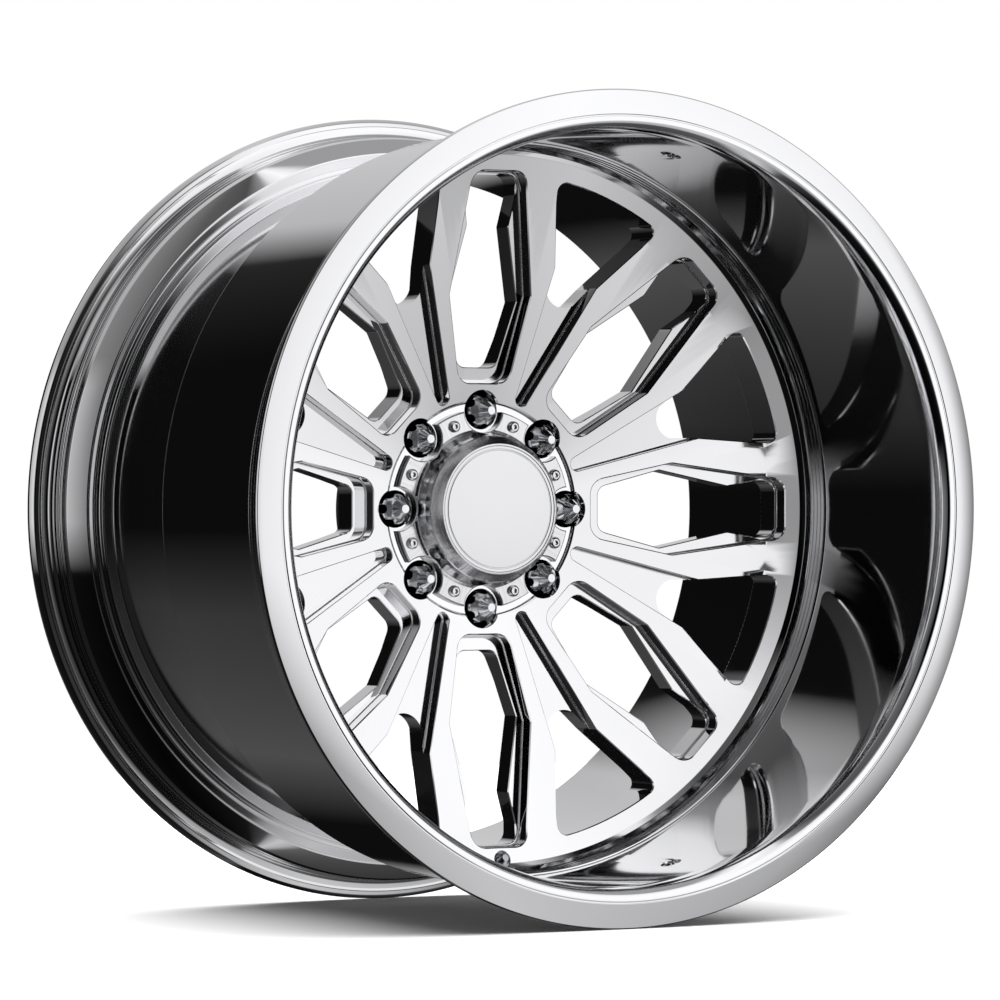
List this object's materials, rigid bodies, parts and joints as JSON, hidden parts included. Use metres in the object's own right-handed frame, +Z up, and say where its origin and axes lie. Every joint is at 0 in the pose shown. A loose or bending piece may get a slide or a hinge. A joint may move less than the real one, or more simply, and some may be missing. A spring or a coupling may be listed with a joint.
{
  "type": "forged racing wheel rim",
  "caption": "Deep-dish forged wheel rim with a polished stepped barrel, paired-spoke centre, bolt-on hub cap, spline-drive lug nuts and clamp-in tyre valve.",
  "frame": {"origin": "on the wheel's axis, midway between the two rim edges", "axes": "+Y is the wheel's spin axis and points to the vehicle side, the dish faces -Y, +Z is up with the tyre valve at the bottom"},
  "size_m": [0.695, 0.433, 0.695],
  "materials": {
    "polished_forging": "mirror polished",
    "weld_metal": "as welded, wire brushed",
    "machined_cap": "turned and polished",
    "cap_face_plate": "fine satin",
    "screw_steel": "bright steel",
    "chromed_nut": "dark chrome",
    "valve_metal": "nickel plated brass",
    "valve_cap_metal": "dark bright anodised",
    "seal_rubber": "matte"
  },
  "bodies": {
    "wheel": {"rim_barrel": "polished_forging", "forged_centre": "polished_forging", "rear_weld_bead": "weld_metal", "centre_cap_body": "machined_cap", "centre_cap_face": "cap_face_plate", "cap_seal_ring": "seal_rubber", "cap_screw_1": "screw_steel", "cap_screw_2": "screw_steel", "cap_screw_3": "screw_steel", "cap_screw_4": "screw_steel", "cap_screw_5": "screw_steel", "cap_screw_6": "screw_steel", "cap_screw_7": "screw_steel", "cap_screw_8": "screw_steel", "valve_stem": "valve_metal", "valve_seal": "seal_rubber", "valve_nut": "valve_metal", "valve_core": "valve_metal"},
    "nut_1": {"lug_nut_1": "chromed_nut"},
    "nut_2": {"lug_nut_2": "chromed_nut"},
    "nut_3": {"lug_nut_3": "chromed_nut"},
    "nut_4": {"lug_nut_4": "chromed_nut"},
    "nut_5": {"lug_nut_5": "chromed_nut"},
    "nut_6": {"lug_nut_6": "chromed_nut"},
    "nut_7": {"lug_nut_7": "chromed_nut"},
    "nut_8": {"lug_nut_8": "chromed_nut"},
    "valve_cap_body": {"valve_cap": "valve_cap_metal"},
    "core_pin": {"valve_core_pin": "valve_metal"}
  },
  "joints": [
    {"name": "lug_nut_1_turn", "type": "hinge", "parent": "wheel", "child": "nut_1", "pos_m": [0.085, 0.016, 0], "axis": [0, -1, 0], "continuous": true},
    {"name": "lug_nut_2_turn", "type": "hinge", "parent": "wheel", "child": "nut_2", "pos_m": [0.0601, 0.016, 0.0601], "axis": [0, -1, 0], "continuous": true},
    {"name": "lug_nut_3_turn", "type": "hinge", "parent": "wheel", "child": "nut_3", "pos_m": [0, 0.016, 0.085], "axis": [0, -1, 0], "continuous": true},
    {"name": "lug_nut_4_turn", "type": "hinge", "parent": "wheel", "child": "nut_4", "pos_m": [-0.0601, 0.016, 0.0601], "axis": [0, -1, 0], "continuous": true},
    {"name": "lug_nut_5_turn", "type": "hinge", "parent": "wheel", "child": "nut_5", "pos_m": [-0.085, 0.016, 0], "axis": [0, -1, 0], "continuous": true},
    {"name": "lug_nut_6_turn", "type": "hinge", "parent": "wheel", "child": "nut_6", "pos_m": [-0.0601, 0.016, -0.0601], "axis": [0, -1, 0], "continuous": true},
    {"name": "lug_nut_7_turn", "type": "hinge", "parent": "wheel", "child": "nut_7", "pos_m": [0, 0.016, -0.085], "axis": [0, -1, 0], "continuous": true},
    {"name": "lug_nut_8_turn", "type": "hinge", "parent": "wheel", "child": "nut_8", "pos_m": [0.0601, 0.016, -0.0601], "axis": [0, -1, 0], "continuous": true},
    {"name": "valve_cap_turn", "type": "hinge", "parent": "wheel", "child": "valve_cap_body", "pos_m": [0, -0.00447, -0.3013], "axis": [0, -0.9397, 0.342], "continuous": true},
    {"name": "valve_core_press", "type": "slide", "parent": "wheel", "child": "core_pin", "axis": [0, 0.9397, -0.342], "range_m": [0, 0.0015], "stiffness_N_per_m": 600, "springref_m": -0.0008}
  ]
}
